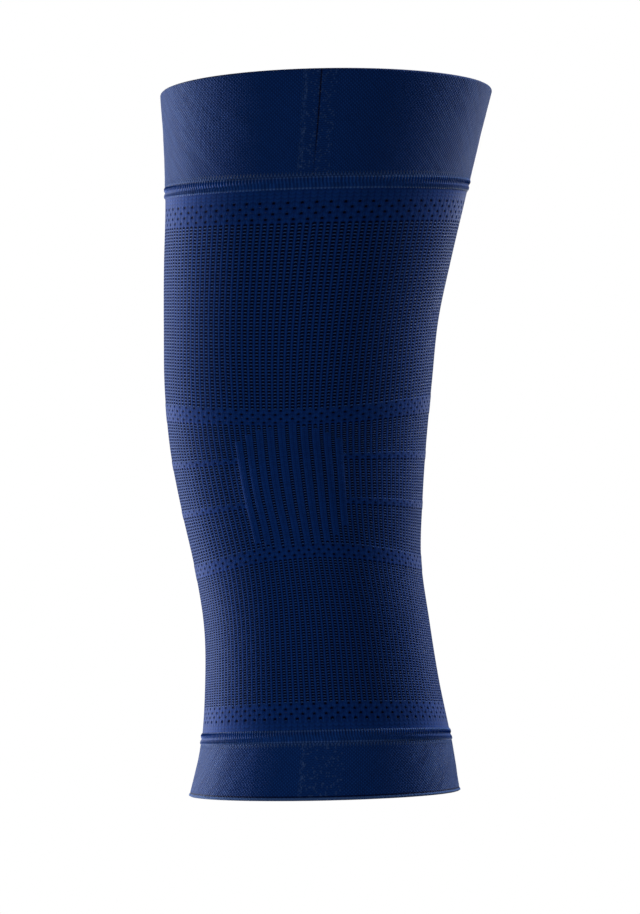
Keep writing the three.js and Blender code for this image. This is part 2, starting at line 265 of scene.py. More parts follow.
def cloth_ring(name, blocks, u, materials):
    """A closed ring of cloth round the leg. Its blocks follow one another round the profile and share
    their end rows: the outer face upwards, the upper end, the inner face downwards, the lower end."""
    columns = len(u) - 1
    points, strips = [], []
    for part in blocks:
        rows = part["points"]
        points.append(rows[:-1])
        normals = grid_normals(part["shade"])
        for j in range(len(rows) - 1):
            strips.append((part, j, normals[j], normals[j + 1]))
    points = np.concatenate(points)
    rows = len(points)
    here = np.arange(rows)[:, None] * columns + np.arange(columns)[None, :]
    right = np.roll(here, -1, 1)
    quads = np.stack([here, right, np.roll(right, -1, 0), np.roll(here, -1, 0)], -1).reshape(-1, 4)

    mesh = bpy.data.meshes.new(name)
    mesh.vertices.add(rows * columns)
    mesh.vertices.foreach_set("co", (points.reshape(-1, 3) * MM).astype(np.float32).ravel())
    mesh.loops.add(quads.size)
    mesh.loops.foreach_set("vertex_index", quads.astype(np.int32).ravel())
    mesh.polygons.add(len(quads))
    mesh.polygons.foreach_set("loop_start", np.arange(0, quads.size, 4, dtype=np.int32))
    mesh.update(calc_edges=True)
    mesh.polygons.foreach_set("use_smooth", np.ones(len(quads), bool))
    for material in materials:
        mesh.materials.append(material)
    in_hole = np.concatenate([part["holes"] for part in blocks])
    mesh.polygons.foreach_set("material_index", in_hole.astype(np.int32).ravel())

    def corners(low, high):
        """Values at a face's four corners, from those of its lower and upper row."""
        return np.stack([low[:, :-1], low[:, 1:], high[:, 1:], high[:, :-1]], 2)

    shape = (rows, columns + 1)
    u_rows = np.broadcast_to(u, shape)
    low_v = np.array([part["v"][j] for part, j, _, _ in strips])
    high_v = np.array([part["v"][j + 1] for part, j, _, _ in strips])
    v_corners = corners(np.broadcast_to(low_v[:, None], shape), np.broadcast_to(high_v[:, None], shape))
    u_corners = corners(u_rows, u_rows)
    zone = np.stack([np.broadcast_to(part["zone"][j], (columns, 2)) for part, j, _, _ in strips])
    low_bake = np.array([part["bake"][j] for part, j, _, _ in strips])
    high_bake = np.array([part["bake"][j + 1] for part, j, _, _ in strips])
    bake_v = corners(np.broadcast_to(low_bake[:, None], shape), np.broadcast_to(high_bake[:, None], shape))
    layers = {
        "OFBake": np.stack([u_corners / u[-1], bake_v], -1),
        "knit": np.stack([u_corners, v_corners], -1),
        "zone": np.repeat(zone[:, :, None, :], 4, 2),
    }
    for layer, values in layers.items():
        uv = mesh.uv_layers.new(name=layer, do_init=False)
        uv.data.foreach_set("uv", values.astype(np.float32).ravel())

    def closed(rows_of_normals):
        return np.concatenate([rows_of_normals, rows_of_normals[:1]])

    low_n = np.stack([closed(low) for _, _, low, _ in strips])
    high_n = np.stack([closed(high) for _, _, _, high in strips])
    corner_normals = np.stack([low_n[:, :-1], low_n[:, 1:], high_n[:, 1:], high_n[:, :-1]], 2)
    mesh.normals_split_custom_set(corner_normals.reshape(-1, 3).astype(np.float32))
    mesh.validate()

    piece = bpy.data.objects.new(name, mesh)
    bpy.context.scene.collection.objects.link(piece)
    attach(piece, "root")
    return piece


def block(points, v, zone, bake_from, bake_to, holes=False, shade=None):
    """Rows of points of one smooth face of a ring. Its place in the unwrap is from bake_from to bake_to.
    holes: the faces that take the second material. shade: the points that give its normals."""
    rows = len(points)
    zone = np.broadcast_to(np.asarray(zone, float), (rows - 1, points.shape[1], 2))
    holes = np.broadcast_to(holes, (rows - 1, points.shape[1]))
    return {"points": points, "v": np.asarray(v, float), "zone": zone, "holes": holes,
            "shade": points if shade is None else shade,
            "bake": np.linspace(bake_from, bake_to, rows)}


def end_block(low_row, high_row, v, bake_from, bake_to):
    """The narrow face between an outer and an inner row."""
    return block(np.stack([low_row, high_row]), [v, v], (0, 0), bake_from, bake_to)


# Materials


class Sum:
    """A number in a node tree, with arithmetic that adds Math nodes."""

    def __init__(self, tree, socket):
        self.tree = tree
        self.socket = socket

    def math(self, operation, *others):
        node = self.tree.nodes.new("ShaderNodeMath")
        node.operation = operation
        for slot, value in zip(node.inputs, (self, *others)):
            if isinstance(value, Sum):
                self.tree.links.new(value.socket, slot)
            else:
                slot.default_value = value
        return Sum(self.tree, node.outputs[0])

    def __add__(self, other):
        return self.math("ADD", other)

    def __sub__(self, other):
        return self.math("SUBTRACT", other)

    def __mul__(self, other):
        return self.math("MULTIPLY", other)

    def __truediv__(self, other):
        return self.math("DIVIDE", other)

    __radd__ = __add__

    def __rsub__(self, other):
        return self * -1 + other

    def fract(self):
        return self.math("FRACT")

    def abs(self):
        return self.math("ABSOLUTE")

    def sine(self):
        return self.math("SINE")

    def cosine(self):
        return self.math("COSINE")

    def step(self, low, high):
        """0 below low and 1 above high, and smooth between them."""
        node = self.tree.nodes.new("ShaderNodeMapRange")
        node.interpolation_type = "SMOOTHSTEP"
        for name, value in (("Value", self), ("From Min", low), ("From Max", high)):
            if isinstance(value, Sum):
                self.tree.links.new(value.socket, node.inputs[name])
            else:
                node.inputs[name].default_value = value
        return Sum(self.tree, node.outputs[0])


class Cloth:
    """A node material for one of the sleeve's cloths."""

    def __init__(self, name, roughness, sheen, sheen_roughness, sheen_tint):
        self.material = bpy.data.materials.new(name)
        self.material.use_nodes = True
        self.tree = self.material.node_tree
        self.shader = self.tree.nodes["Principled BSDF"]
        self.shader.inputs["Roughness"].default_value = roughness
        self.shader.inputs["Specular IOR Level"].default_value = SPECULAR
        self.shader.inputs["Sheen Weight"].default_value = sheen
        self.shader.inputs["Sheen Roughness"].default_value = sheen_roughness
        self.shader.inputs["Sheen Tint"].default_value = sheen_tint

    def uv(self, layer):
        node = self.tree.nodes.new("ShaderNodeUVMap")
        node.uv_map = layer
        parts = self.tree.nodes.new("ShaderNodeSeparateXYZ")
        self.tree.links.new(node.outputs[0], parts.inputs[0])
        return Sum(self.tree, parts.outputs[0]), Sum(self.tree, parts.outputs[1])

    def noise(self, scale, detail):
        """Smooth noise in space. scale: its waves in a metre."""
        place = self.tree.nodes.new("ShaderNodeTexCoord")
        node = self.tree.nodes.new("ShaderNodeTexNoise")
        node.inputs["Scale"].default_value = scale
        node.inputs["Detail"].default_value = detail
        self.tree.links.new(place.outputs["Object"], node.inputs["Vector"])
        return Sum(self.tree, node.outputs["Fac"])

    def flow(self, x, y):
        """Smooth noise over two numbers."""
        join = self.tree.nodes.new("ShaderNodeCombineXYZ")
        for value, slot in ((x, join.inputs[0]), (y, join.inputs[1])):
            self.tree.links.new(value.socket, slot)
        node = self.tree.nodes.new("ShaderNodeTexNoise")
        node.noise_dimensions = "2D"
        node.inputs["Scale"].default_value = 1
        node.inputs["Detail"].default_value = 1
        self.tree.links.new(join.outputs[0], node.inputs["Vector"])
        return Sum(self.tree, node.outputs["Fac"])

    def cell_noise(self, x, y):
        """A random number that holds for whole steps of x and y."""
        join = self.tree.nodes.new("ShaderNodeCombineXYZ")
        for value, slot in ((x, join.inputs[0]), (y, join.inputs[1])):
            self.tree.links.new(value.math("FLOOR").socket, slot)
        node = self.tree.nodes.new("ShaderNodeTexWhiteNoise")
        node.noise_dimensions = "2D"
        self.tree.links.new(join.outputs[0], node.inputs["Vector"])
        return Sum(self.tree, node.outputs["Value"])

    def mix(self, amount, first, second):
        """A colour between two, which are colours or the output of another mix."""
        node = self.tree.nodes.new("ShaderNodeMix")
        node.data_type = "RGBA"
        self.tree.links.new(amount.socket, node.inputs["Factor"])
        for value, slot in ((first, node.inputs["A"]), (second, node.inputs["B"])):
            if isinstance(value, tuple):
                slot.default_value = (*value, 1)
            else:
                self.tree.links.new(value, slot)
        return node.outputs["Result"]

    def scaled(self, colour, amount):
        node = self.tree.nodes.new("ShaderNodeVectorMath")
        node.operation = "SCALE"
        self.tree.links.new(colour, node.inputs[0])
        self.tree.links.new(amount.socket, node.inputs["Scale"])
        return node.outputs[0]

    def finish(self, colour, height, depth):
        """depth: metres between 0 and 1 of height."""
        bump = self.tree.nodes.new("ShaderNodeBump")
        bump.inputs["Distance"].default_value = depth
        self.tree.links.new(height.socket, bump.inputs["Height"])
        self.tree.links.new(bump.outputs[0], self.shader.inputs["Normal"])
        self.tree.links.new(colour, self.shader.inputs["Base Color"])
        return self.material


# The yarns, with the painted shade and highlights
YARN = (0.003, 0.042, 0.27)
YARN_DARK = (0.0015, 0.033, 0.22)
# pale yarn of the stitches and weaves, also used for the painted highlight on the open knit's upright lines
YARN_PALE_AND_HIGHLIGHT = (0.014, 0.1, 0.47)
# painted shade: near-black navy for the knit's holes, the cuff's join slit and the line above the hem's
# bead
PAINTED_SHADE = (0, 0.001, 0.03)
LOOP_HIGHLIGHT = (0.06, 0.19, 0.62)  # painted highlight: the loops over and under a hole, painted paler than the yarn
PALE_THREAD_AND_HIGHLIGHT = (0.09, 0.21, 0.6)  # the palest threads of the cuffs and seams, and the colour of the painted highlights and painted sheen on them
KNIT_ROUGHNESS = 0.85
CUFF_ROUGHNESS = 0.8
SEAM_ROUGHNESS = 0.75
SPECULAR = 0.12
SHEEN = 0.8
CUFF_SHEEN = 0.78
SHEEN_ROUGHNESS = 0.3
SHEEN_TINT = (0.8, 0.86, 1, 1)
KNIT_BUMP = 0.0004  # metres between 0 and 1 of a cloth's height
CUFF_BUMP = 0.0003
FUZZ = 900  # the scales of the fine and the large noise of the knit
LARGE = 28

# The open knit's weave. Widths are in columns and heights in lines, and pairs are where an edge is full
# and where it has faded out.
HOLE_WIDE = 0.29  # half its width
HOLE_EDGE = (0.08, 0.04)  # inside and outside that
HOLE_UP = 0.2  # its middle over its line's
HOLE_TALL = (0.14, 0.3)
LOOP_BELOW = 0.32  # its middle under its line's
LOOP_TALL = (0.07, 0.23)
LOOP_WIDE = (0.1, 0.3)
CORE_WIDE = (0.03, 0.17)  # the ridge of an upright line, which is painted paler as a highlight
VEE_TALL = (0.12, 0.45)  # the stitches along it
VEE_RISE = 0.9
LEG_WIDE = (0.1, 0.4)  # the stitches of the dense bands

# The cuffs' weave, in dots round and rows up
DOTS_ROUND = {"top_cuff_cloth": 264, "bottom_cuff_cloth": 220}
CUFF_COURSE = 1.4  # height of a row, in millimetres
PEARL = (0.3, 0.85)  # where a dot begins, and where it is full
SHEEN_SIDE_FROM = (0.08, 0.17)  # turns from the front, where the painted sheen of pale dashes on a cuff's sides begins
SHEEN_SIDE_TO = (0.24, 0.32)
DASH_LONG = 0.05  # how fast the noise changes along a dash
DASH_WIDE = 0.45  # and across it
FRINGE_ROWS = 1.7  # how far the seam's threads reach into a cuff
SLIT_WIDE = (0.08, 0.26)
# a painted highlight along the bead at the bottom rim, and a painted shade line just above it
HEM_HIGHLIGHT = 0.55  # rows from the bottom rim
HEM_HIGHLIGHT_TALL = (0.55, 0.8)
HEM_SHADE = 1.5
HEM_SHADE_TALL = (0.1, 0.35)

# The seams' weave
CREST_HIGHLIGHT_OUT = 3.2  # lines from the seam's middle to the painted highlights on its ridges' outer slopes
CREST_HIGHLIGHT_TALL = (0.25, 0.75)


def open_knit(name, sheen):
    """The open knit, or with no sheen the inside of its holes."""
    cloth = Cloth(name, KNIT_ROUGHNESS, sheen, SHEEN_ROUGHNESS, SHEEN_TINT)
    u, v = cloth.uv("knit")
    opening, dense = cloth.uv("zone")
    across = (u + 0.5).fract() - 0.5
    up = v.fract() - 0.5
    aside = across.abs()
    curve = across * across * 2

    wide = HOLE_WIDE - dense * 0.07
    in_width = 1 - aside.step(wide - HOLE_EDGE[0], wide + HOLE_EDGE[1])
    in_height = 1 - (up + curve - HOLE_UP).abs().step(*HOLE_TALL)
    hole = in_width * in_height * opening
    loop_up = up + LOOP_BELOW - dense * 0.8 + curve * 0.6
    loop_highlight = (1 - loop_up.abs().step(*LOOP_TALL)) * (1 - aside.step(*LOOP_WIDE)) * opening
    ridge_highlight = 1 - (0.5 - aside).step(*CORE_WIDE)
    vee = 1 - ((v + aside * VEE_RISE).fract() - 0.5).abs().step(*VEE_TALL)

    half = (u * 2).fract() - 0.5
    legs = (1 - half.abs().step(*LEG_WIDE)) * (1 - opening) * dense
    column = cloth.cell_noise(u + 0.5, u * 0)
    stitch = cloth.cell_noise(u * 2, v)
    fuzz = cloth.noise(FUZZ, 2)
    large = cloth.noise(LARGE, 3)

    # painted highlight: the ridge of each upright line is painted paler, in colour and in tone
    colour = cloth.mix(ridge_highlight * 0.35, YARN, YARN_PALE_AND_HIGHLIGHT)
    colour = cloth.mix(legs * 0.3, colour, YARN_PALE_AND_HIGHLIGHT)
    tone = 0.52 + (1 - dense) * ridge_highlight * 0.3 + dense * 0.02 + column * 0.06 + stitch * 0.2
    tone = tone + fuzz * 0.3 + large * 0.2 + vee * (0.14 + dense * 0.16)
    colour = cloth.scaled(colour, tone)
    # painted highlight on the loops between the holes
    colour = cloth.mix(loop_highlight * (0.9 - dense * 0.5), colour, LOOP_HIGHLIGHT)
    # the holes are painted near-black: painted shade of the sleeve's dark inside
    colour = cloth.mix(hole, colour, PAINTED_SHADE)
    height = ridge_highlight * 0.12 + vee * 0.1 + legs * 0.12 + fuzz * 0.15 - hole * 0.7 + loop_highlight * 0.4 + 0.5
    return cloth.finish(colour, height, KNIT_BUMP)


def cuff_knit(name, seam_row, seam_side, streak_side, patch_edge, join_at=None, hem=False):
    """The dense knit of a cuff. seam_row: the row that meets the seam. seam_side, streak_side: 1 or -1."""
    cloth_name = name.replace("_cloth", "_knit")
    cloth = Cloth(cloth_name, CUFF_ROUGHNESS, CUFF_SHEEN, SHEEN_ROUGHNESS, SHEEN_TINT)
    u, v = cloth.uv("knit")
    patch, rim = cloth.uv("zone")
    brick = (u * TURN).cosine() * (v * TURN).cosine() * 0.5 + 0.5
    pearl = brick.step(*PEARL)
    pins = (u * 2 * TURN).cosine() * 0.5 + 0.5
    waves = ((v * 2 + (u * 0.9).sine() * 0.35) * TURN).cosine() * 0.5 + 0.5
    speck = cloth.cell_noise(u * 3, v * 2)
    grain = cloth.cell_noise(u + v, u - v)
    fuzz = cloth.noise(1100, 2)
    large = cloth.noise(26, 3)
    streak = cloth.flow((u + v * streak_side) * DASH_WIDE, (u - v * streak_side) * DASH_LONG)
    lined = 1 - (u - patch_edge).abs().step(0.5, 0.9)
    stipple = speck.step(0.86, 0.93) * patch + speck.step(0.5, 0.6) * lined * 0.7
    beyond = (v - seam_row) * seam_side
    tooth = (u.fract() - 0.5).abs() * 2
    fringe = (0.95 - tooth - beyond / FRINGE_ROWS).step(0, 0.35) * beyond.step(-0.5, 0)

    weave = pearl * 0.62 + pins * 0.25
    weave = weave * (1 - patch) + (waves * 0.45 + pearl * 0.3) * patch
    colour = cloth.mix(weave, YARN_DARK, YARN_PALE_AND_HIGHLIGHT)
    # a cuff's sides, between these turns from the front, get painted sheen: streakier tone and pale dashes
    turned = (u / DOTS_ROUND[name] - 0.5).abs()
    side = turned.step(*SHEEN_SIDE_FROM) * (1 - turned.step(*SHEEN_SIDE_TO))
    tone = 0.82 + grain * 0.14 + fuzz * 0.24 + large * 0.2 + (streak - 0.5) * (side * 0.3 + 0.16)
    colour = cloth.scaled(colour, tone)
    colour = cloth.mix(stipple * 0.45, colour, PALE_THREAD_AND_HIGHLIGHT)
    colour = cloth.mix(fringe * 0.6, colour, PALE_THREAD_AND_HIGHLIGHT)
    # painted sheen: pale dashes over the dots of a cuff's sides
    sheen_dashes = (streak.step(0.35, 0.7) * 0.75 + 0.25) * side * pearl
    colour = cloth.mix(sheen_dashes * 0.85, colour, PALE_THREAD_AND_HIGHLIGHT)
    height = weave + streak * side * 0.4 + stipple * 0.4 + fringe * 0.8
    if join_at is not None:
        # painted shade: the join's shallow groove is painted near-black
        shaded_slit = (1 - (u - join_at).abs().step(*SLIT_WIDE)) * (v.step(3, 14) * 0.7 + 0.2)
        colour = cloth.mix(shaded_slit * 0.9, colour, PAINTED_SHADE)
        height = height - shaded_slit
    if hem:
        # painted shade in a line above the bead, and a painted highlight along the bead
        colour = cloth.mix((1 - (v - HEM_SHADE).abs().step(*HEM_SHADE_TALL)) * 0.8, colour, PAINTED_SHADE)
        colour = cloth.mix(rim * (1 - (v - HEM_HIGHLIGHT).abs().step(*HEM_HIGHLIGHT_TALL)), colour, PALE_THREAD_AND_HIGHLIGHT)
    return cloth.finish(colour, height, CUFF_BUMP)


def seam_knit():
    """The upright stitches of a seam, with painted highlights as pale lines at its two edges."""
    cloth = Cloth("seam_knit", SEAM_ROUGHNESS, SHEEN, SHEEN_ROUGHNESS, SHEEN_TINT)
    u, v = cloth.uv("knit")
    crest_highlight = 1 - ((v - SEAM_LINES / 2).abs() - CREST_HIGHLIGHT_OUT).abs().step(*CREST_HIGHLIGHT_TALL)
    tooth = ((u * 2 + v * 0.06).fract() - 0.5).abs()
    stitch = 1 - tooth.step(0.08, 0.4)
    shade = cloth.cell_noise(u * 2, v / 4)
    fuzz = cloth.noise(1000, 2)
    colour = cloth.mix(stitch * 0.65 + 0.2, YARN_DARK, YARN_PALE_AND_HIGHLIGHT)
    # painted highlight: pale lines on the outer slopes of the two ridges
    colour = cloth.mix(crest_highlight * (stitch * 0.75 + 0.25) * 0.8, colour, PALE_THREAD_AND_HIGHLIGHT)
    colour = cloth.scaled(colour, 0.85 + shade * 0.3 + fuzz * 0.3)
    return cloth.finish(colour, stitch * 0.7 + crest_highlight * 0.4 + fuzz * 0.2, KNIT_BUMP)


# The knitted tube


def knit_lines():
    """Every vertex row of the knit's outer face, with its line, and the openness of each line's columns."""
    heights, lines, opening, dense, pieces = [], [], [], [], []
    columns = np.arange(COLUMNS + 1)
    rib_columns = PANEL_COLUMN - RIB_COUNT + 1 + 2 * np.arange(RIB_COUNT)
    beside = np.abs(columns - PANEL_COLUMN) > RIB_COUNT - 0.5
    for zone in ZONES:
        tall = (zone["high"] - zone["low"]) / zone["lines"]
        for k in range(zone["lines"]):
            line = len(opening)
            middle = zone["low"] + (k + 0.5) * tall
            odd = (columns + line) % 2 == 0
            if zone["kind"] == "mesh":
                holes = np.ones(COLUMNS + 1)
                smooth = np.zeros(COLUMNS + 1)
            elif zone["kind"] == "dots":
                holes = np.where(odd, DOT_OPEN, 0)
                smooth = np.ones(COLUMNS + 1)
            elif zone["kind"] == "eyelets":
                holes = np.where(odd, 1.0, 0)
                smooth = np.full(COLUMNS + 1, 0.4)
            elif zone["kind"] == "parted":
                holes = np.where(beside, np.where(odd, DOT_OPEN, 0), 1.0)
                smooth = np.where(beside, 1.0, 0.0)
            else:
                holes = np.zeros(COLUMNS + 1)
                smooth = np.ones(COLUMNS + 1)
            for n, column in enumerate(rib_columns):
                low, high = rib_reach(2 * n / (RIB_COUNT - 1) - 1)
                if low < middle < high:
                    holes[column] = 0
                    smooth[column] = 1
            opening.append(holes)
            dense.append(smooth)
            pieces.append(zone["piece"])
            for at in PIT_AT:
                heights.append(zone["low"] + (k + at) * tall)
                lines.append(line + at)
    heights.append(ZONES[-1]["high"])
    lines.append(float(len(opening)))
    return np.array(heights), np.array(lines), np.array(opening), np.array(dense), pieces


def rib_reach(side):
    """Lower and upper end of a rib of the panel. side goes from -1 at the first to 1 at the last."""
    corner = abs(side) ** 3
    corner_below = CORNER_LEFT if side < 0 else CORNER_RIGHT
    low = KNEE_HEIGHT - PANEL_BELOW + corner_below * corner
    return low, KNEE_HEIGHT + PANEL_ABOVE - CORNER_TOP * corner


def knit_face():
    """The knit's whole outer face: its points, and what its pieces need to know of it."""
    heights, lines, opening, dense, pieces = knit_lines()
    samples = np.arange(COLUMNS * ACROSS)
    column = samples / ACROSS
    on_hole = samples % ACROSS == 0
    nearest = np.round(column).astype(int)

    line = np.minimum(lines.astype(int), len(opening) - 1)
    step = np.append(np.tile(np.arange(UP), len(opening)), 0)
    between = np.array(PIT_SHARE)[step] == 0
    share = np.array(PIT_SHARE)[step][:, None]
    here = opening[line][:, nearest]
    below = opening[np.maximum(line - 1, 0)][:, nearest]
    smooth = dense[line][:, nearest]
    bridge = BRIDGE_DEPTH * np.minimum(np.maximum(here, below), 1) * (1 - 0.6 * smooth)
    depth = np.where(between[:, None], bridge, HOLE_DEPTH * share * here)
    relief = np.where(on_hole[None, :], -depth, WALE_PROUD)

    tall = heights[:, None]
    rib_shape = np.zeros_like(relief)
    for n in range(RIB_COUNT):
        middle = PANEL_COLUMN - RIB_COUNT + 1 + 2 * n
        low, high = rib_reach(2 * n / (RIB_COUNT - 1) - 1)
        foot = smoothstep(low - RIB_END[0], low + RIB_END[1], tall)
        ends = foot * (1 - smoothstep(high - RIB_END[1], high + RIB_END[0], tall))
        away = np.abs(column - middle)[None, :]
        crown = np.interp(away, *RIB_CROWN)
        rib_shape = np.maximum(rib_shape, ends * crown)
    ribs = rib_shape * RIB_HEIGHT

    sway = np.cumsum(dice.normal(0, 1, (len(heights) // SWAY_ROWS + 2, COLUMNS)), 0)
    sway = (sway - sway.mean(0)) / sway.std()
    slow = np.arange(len(heights)) / SWAY_ROWS
    k = slow.astype(int)
    share = (slow - k)[:, None]
    sway = sway[k] * (1 - share) + sway[k + 1] * share
    sway = np.repeat(sway, ACROSS, 1)
    slip = np.repeat(dice.normal(0, 1, COLUMNS), ACROSS)[None, :]
    ends = np.minimum(np.arange(len(heights)), np.arange(len(heights))[::-1]) / FREE_ROWS
    free = np.clip(ends, 0, 1)[:, None]

    angle = column_angle(column[None, :] + sway * COLUMN_SWAY * free, tall)
    shifted = tall + slip * COLUMN_SLIP * free * LINE_HEIGHT
    cloth_out = ribs + band_relief(tall, angle)
    points = skin(shifted, angle, relief + cloth_out)
    shade = skin(shifted, angle, relief * HOLE_SHADE + cloth_out)
    face_column = np.round((samples + 0.5) / ACROSS).astype(int)
    strip_line = np.minimum(lines[:-1].astype(int), len(opening) - 1)
    open_here = np.minimum(opening[strip_line][:, face_column] * 9, 1)
    zone = np.stack([open_here, dense[strip_line][:, face_column]], -1)
    strip_piece = [pieces[k] for k in strip_line]
    beside_hole = samples % ACROSS != 1
    holes = (zone[:, :, 0] > 0) & (step[:-1] > 0)[:, None] & beside_hole[None, :]
    return {"heights": heights, "lines": lines, "points": points, "zone": zone, "pieces": strip_piece,
            "holes": holes, "shade": shade}


def knit_piece(name, face, materials):
    """A closed ring from the knit's outer face, with its inner face and its two narrow ends."""
    strips = [k for k, piece in enumerate(face["pieces"]) if piece == name]
    first, last = strips[0], strips[-1] + 1
    heights = face["heights"][first:last + 1]
    lines = face["lines"][first:last + 1]
    outer = face["points"][first:last + 1]
    column = np.arange(COLUMNS * ACROSS) / ACROSS
    edges = sorted({z[end] for z in ZONES if z["piece"] == name for end in ("low", "high")})
    inside = []
    for low, high in zip(edges[:-1], edges[1:]):
        count = max(round((high - low) / KNIT_INSIDE_STEP), 1)
        inside += [low + (high - low) * k / count for k in range(count)]
    inside = np.array([*inside, edges[-1]])[::-1]
    inner = skin(inside[:, None], column_angle(column[None, :], inside[:, None]), -KNIT_WALL)
    inner_lines = np.interp(inside, heights, lines)
    mesh_zone = np.array([
        any(z["kind"] in ("mesh", "parted") and z["low"] <= (a + b) / 2 <= z["high"] for z in ZONES)
        for a, b in zip(inside[:-1], inside[1:])
    ], float)
    inner_zone = np.stack([mesh_zone, 1 - mesh_zone], -1)[:, None, :]
    blocks = [
        block(outer, lines, face["zone"][first:last], 0.005, 0.8, face["holes"][first:last],
              face["shade"][first:last + 1]),
        end_block(outer[-1], inner[0], lines[-1], 0.8, 0.81),
        block(inner, inner_lines, inner_zone, 0.82, 0.98),
        end_block(inner[-1], outer[0], lines[0], 0.98, 0.99),
    ]
    u = np.arange(COLUMNS * ACROSS + 1) / ACROSS
    piece = cloth_ring(name, blocks, u, materials)
    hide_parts("knit_tube")
    return piece


# Cuffs and seams


def even(low, high, step):
    return np.linspace(low, high, max(round((high - low) / step), 1) + 1)


def ring_angles(samples):
    return np.arange(samples) / samples * TURN - math.pi


def join_groove(height, angle):
    turn = np.arctan2(np.sin(angle - JOIN_TURN), np.cos(angle - JOIN_TURN))
    across = np.abs(turn) * arc_per_radian(height, angle)
    return -JOIN_DEPTH * np.clip(1 - across / (JOIN_WIDTH / 2), 0, 1)


def cuff_zone(heights, angles, patch_from, patch_to, rim_below=None):
    """The stippled patch, and the rows of the hem's painted highlight, for each face of a cuff."""
    middle = angles + (angles[1] - angles[0]) / 2
    inside = (middle > math.radians(patch_from)) & (middle < math.radians(patch_to))
    patch = np.broadcast_to(inside, (len(heights) - 1, len(angles)))
    rim = np.zeros_like(patch, float)
    if rim_below is not None:
        rim = rim + (heights[:-1] < rim_below)[:, None]
    return np.stack([patch.astype(float), rim], -1)


def cuff_piece(name, low, high, material, top):
    """A cuff: the top one is folded over its upper rim, and the bottom one has a bead at its lower rim."""
    samples = COLUMNS * CUFF_ACROSS
    angles = ring_angles(samples)
    radius = CUFF_WALL / 2
    if top:
        fold = high - radius
        heights = even(low, fold, CUFF_STEP)
        outs = np.full(len(heights), CUFF_PROUD)
        share = np.ones(len(heights))
        for k in range(1, FOLD_STEPS):
            turn = k / FOLD_STEPS * math.pi
            heights = np.append(heights, fold + radius * math.sin(turn))
            outs = np.append(outs, CUFF_PROUD - radius + radius * math.cos(turn))
            share = np.append(share, (1 + math.cos(turn)) / 2)
        inside = even(low, fold, CUFF_INSIDE_STEP)[::-1]
        zone = cuff_zone(np.maximum.accumulate(heights), angles, *TOP_PATCH)
    else:
        bead = [0, EDGE_TALL * 0.25, EDGE_TALL * 0.5, EDGE_TALL * 0.75]
        heights = np.concatenate([bead, even(EDGE_TALL, high, CUFF_STEP)])
        outs = np.full(len(heights), CUFF_PROUD)
        outs[:4] += [-EDGE_BEAD, EDGE_BEAD * 0.8, EDGE_BEAD, EDGE_BEAD * 0.8]
        share = np.zeros(len(heights))
        inside = even(0, high, CUFF_INSIDE_STEP)[::-1]
        zone = cuff_zone(heights, angles, *BOTTOM_PATCH, rim_below=EDGE_TALL * 0.8)
    tall = heights[:, None]
    groove = join_groove(tall, angles[None, :]) * share[:, None] if top else 0
    ripple = dice.normal(0, 1, (len(heights) // RIPPLE_ROWS + 2, samples // RIPPLE_COLUMNS))
    rows_at = np.arange(len(heights)) / RIPPLE_ROWS
    k = rows_at.astype(int)
    part = (rows_at - k)[:, None]
    ripple = ripple[k] * (1 - part) + ripple[k + 1] * part
    known = np.arange(samples // RIPPLE_COLUMNS) * RIPPLE_COLUMNS
    ripple = np.stack([np.interp(np.arange(samples), known, row, period=samples) for row in ripple])
    outer = skin(tall, angles[None, :], outs[:, None] + groove + ripple * RIPPLE)
    inner = skin(inside[:, None], angles[None, :], CUFF_PROUD - CUFF_WALL)
    path = np.concatenate([[0], np.cumsum(np.hypot(np.diff(heights), np.diff(outs)))])
    blocks = []
    if top:
        rows = np.concatenate([outer, inner])
        steps = np.concatenate([path, path[-1] + FOLD_TAKES + (inside[0] - inside)]) / CUFF_COURSE
        zones = np.concatenate([zone, np.zeros((len(rows) - len(outer), samples, 2))])
        blocks.append(block(rows, steps, zones, 0.005, 0.97))
    else:
        blocks.append(block(outer, path / CUFF_COURSE, zone, 0.005, 0.6))
        blocks.append(end_block(outer[-1], inner[0], path[-1] / CUFF_COURSE, 0.61, 0.63))
        blocks.append(block(inner, inside / CUFF_COURSE, (0, 0), 0.64, 0.97))
    blocks.append(end_block(inner[-1], outer[0], 0, 0.975, 0.99))
    u = np.arange(samples + 1) / samples * DOTS_ROUND[name]
    piece = cloth_ring(name, blocks, u, [material])
    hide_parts(name.replace("_cloth", ""))
    return piece


def seam_piece(name, low, material):
    """A seam of two ridges, whose teeth lean against one another."""
    samples = COLUMNS * SEAM_STITCHES * SEAM_ACROSS
    angles = ring_angles(samples)
    outer = []
    for at, rise in SEAM_FACE:
        lean = SEAM_LEAN if at < 0.5 else -SEAM_LEAN
        wave = np.cos((np.arange(samples) / SEAM_ACROSS + lean * (at % 0.5)) * TURN)
        strength = SEAM_NOTCH * min(rise * 1.1, 1)
        out = RIDGE_HEIGHT * (rise * (1 - strength + strength * wave))
        outer.append(skin(low - PIECE_GAP + at * (SEAM_HEIGHT + 2 * PIECE_GAP), angles, out))
    outer = np.stack(outer)
    inside = even(low - PIECE_GAP, low + SEAM_HEIGHT + PIECE_GAP, 2.5)[::-1]
    inner = skin(inside[:, None], angles[None, :], -SEAM_WALL)
    lines = np.linspace(0, SEAM_LINES, len(outer))
    blocks = [
        block(outer, lines, (0, 0), 0.01, 0.7),
        end_block(outer[-1], inner[0], SEAM_LINES, 0.71, 0.74),
        block(inner, np.linspace(SEAM_LINES, 0, len(inner)), (0, 0), 0.75, 0.95),
        end_block(inner[-1], outer[0], 0, 0.96, 0.99),
    ]
    u = np.arange(samples + 1) / (SEAM_STITCHES * SEAM_ACROSS)
    piece = cloth_ring(name, blocks, u, [material])
    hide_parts(name.replace("_stitching", ""))
    return piece


